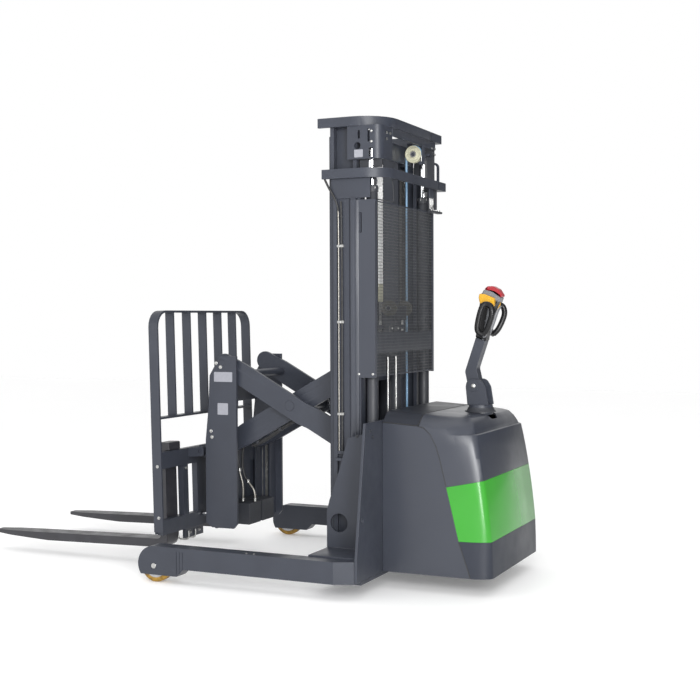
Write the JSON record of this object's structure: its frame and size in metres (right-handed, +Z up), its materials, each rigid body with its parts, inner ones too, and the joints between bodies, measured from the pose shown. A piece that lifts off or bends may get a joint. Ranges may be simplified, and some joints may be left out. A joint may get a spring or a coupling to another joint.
{
  "type": "walkie reach truck",
  "caption": "Pedestrian stacker with straddle legs, three-stage lift mast, scissor reach, tilting forks with a load backrest and a steering tiller.",
  "frame": {"origin": "middle of the truck's outline on the floor", "axes": "+X towards the fork tips, +Y to the truck's left, +Z up"},
  "size_m": [2.7046, 1.37, 2.09],
  "materials": {
    "black_plastic": "moulded",
    "chrome": "polished",
    "cream_plastic": "moulded nylon",
    "dark_paint": "satin paint",
    "fork_black": "satin paint",
    "graphite": "semi-gloss paint",
    "green": "gloss paint",
    "label_white": "film",
    "polyurethane": "moulded polyurethane",
    "red_plastic": "moulded",
    "rubber": "moulded rubber",
    "steel": "zinc plated",
    "yellow_plastic": "moulded"
  },
  "bodies": {
    "truck": {"base_frame": "graphite", "battery": "black_plastic", "chassis_tray": "dark_paint", "green_band": "green", "leg_left": "graphite", "leg_right": "graphite", "lift_barrel_left": "dark_paint", "lift_barrel_right": "dark_paint", "lift_chain_left": "steel", "lift_chain_right": "steel", "mast_gusset_left": "graphite", "mast_gusset_right": "graphite", "outer_tie": "graphite", "outer_upright_left": "graphite", "outer_upright_right": "graphite", "rear_cover": "graphite", "rear_guard": "dark_paint", "rear_skirt": "graphite", "side_cover_left": "graphite", "side_cover_right": "graphite", "side_panel_left": "graphite", "side_panel_right": "graphite", "top_cover": "graphite"},
    "middle_stage": {"middle_mast": "graphite", "hose_pulley": "cream_plastic", "mast_hose": "rubber", "lift_rod_left": "chrome", "lift_rod_right": "chrome"},
    "inner_stage": {"inner_mast": "graphite", "free_lift_barrel": "dark_paint"},
    "crosshead": {"crosshead": "steel", "chain_sheave_left": "cream_plastic", "chain_sheave_right": "cream_plastic"},
    "carriage": {"carriage_frame": "graphite"},
    "inner_arms": {"scissor_inner_arms": "graphite"},
    "outer_arms": {"scissor_outer_arms": "graphite"},
    "reach_head": {"reach_head_frame": "graphite", "tilt_barrel_left": "dark_paint", "tilt_barrel_right": "dark_paint"},
    "reach_barrel": {"reach_barrel": "dark_paint"},
    "reach_rod": {"reach_rod": "chrome"},
    "tilt_rods": {"tilt_rod_left": "chrome", "tilt_rod_right": "chrome"},
    "forks": {"fork_carriage": "graphite", "fork_left": "fork_black", "fork_right": "fork_black", "load_backrest": "graphite"},
    "steering": {"drive_unit": "dark_paint", "tiller_base": "dark_paint"},
    "drive_wheel": {"drive_tyre": "rubber"},
    "tiller": {"tiller_arm": "graphite", "tiller_head": "black_plastic", "stop_button": "red_plastic"},
    "load_wheel_left": {"load_tyre_left": "polyurethane"},
    "load_wheel_right": {"load_tyre_right": "polyurethane"}
  },
  "joints": [
    {"name": "mast_lift", "type": "slide", "parent": "truck", "child": "middle_stage", "axis": [0, 0, 1], "range_m": [0, 1.55]},
    {"name": "inner_lift", "type": "slide", "parent": "middle_stage", "child": "inner_stage", "axis": [0, 0, 1], "range_m": [0, 1.55]},
    {"name": "carriage_lift", "type": "slide", "parent": "inner_stage", "child": "carriage", "axis": [0, 0, 1], "range_m": [-0.04, 0.96]},
    {"name": "crosshead_lift", "type": "slide", "parent": "inner_stage", "child": "crosshead", "axis": [0, 0, 1], "range_m": [-0.02, 0.48]},
    {"name": "reach", "type": "hinge", "parent": "carriage", "child": "inner_arms", "pos_m": [-0.66631, 0, 0.979], "axis": [0, 1, 0], "range_deg": [0, 37]},
    {"name": "outer_arms_fold", "type": "hinge", "parent": "inner_arms", "child": "outer_arms", "pos_m": [-0.31121, 0, 0.78217], "axis": [0, 1, 0], "range_deg": [-74, 0]},
    {"name": "head_level", "type": "hinge", "parent": "outer_arms", "child": "reach_head", "pos_m": [0.04388, 0, 0.979], "axis": [0, 1, 0], "range_deg": [0, 37]},
    {"name": "reach_barrel_swing", "type": "hinge", "parent": "carriage", "child": "reach_barrel", "pos_m": [-0.65631, 0, 0.3], "axis": [0, 1, 0], "range_deg": [-9.9, 0]},
    {"name": "reach_rod_slide", "type": "slide", "parent": "reach_barrel", "child": "reach_rod", "axis": [0.4276, 0, 0.904], "range_m": [-0.1706, 0]},
    {"name": "fork_tilt", "type": "hinge", "parent": "reach_head", "child": "forks", "pos_m": [0.19388, 0, 0.545], "axis": [0, 1, 0], "range_deg": [-5, 1.6]},
    {"name": "tilt_rod_slide", "type": "slide", "parent": "reach_head", "child": "tilt_rods", "axis": [1, 0, 0], "range_m": [-0.0095, 0.029]},
    {"name": "steer", "type": "hinge", "parent": "truck", "child": "steering", "pos_m": [-1.18631, 0, 0.3], "axis": [0, 0, 1], "range_deg": [-90, 90]},
    {"name": "drive_roll", "type": "hinge", "parent": "steering", "child": "drive_wheel", "pos_m": [-1.18631, 0, 0.115], "axis": [0, 1, 0], "continuous": true},
    {"name": "tiller_swing", "type": "hinge", "parent": "steering", "child": "tiller", "pos_m": [-1.16631, 0, 0.885], "axis": [0, -1, 0], "range_deg": [0, 70]},
    {"name": "load_roll_left", "type": "hinge", "parent": "truck", "child": "load_wheel_left", "pos_m": [0.14169, 0.647, 0.0756], "axis": [0, 1, 0], "continuous": true},
    {"name": "load_roll_right", "type": "hinge", "parent": "truck", "child": "load_wheel_right", "pos_m": [0.14169, -0.647, 0.0756], "axis": [0, 1, 0], "continuous": true}
  ],
  "couplings": [
    {"joint": "inner_lift", "follows": "mast_lift", "ratio": 1},
    {"joint": "crosshead_lift", "follows": "carriage_lift", "ratio": 0.5},
    {"joint": "outer_arms_fold", "follows": "reach", "ratio": -2},
    {"joint": "head_level", "follows": "reach", "ratio": 1},
    {"joint": "reach_barrel_swing", "follows": "reach", "ratio": -0.26627},
    {"joint": "reach_rod_slide", "follows": "reach", "m_per_rad": -0.2634},
    {"joint": "tilt_rod_slide", "follows": "fork_tilt", "m_per_rad": -0.327}
  ]
}
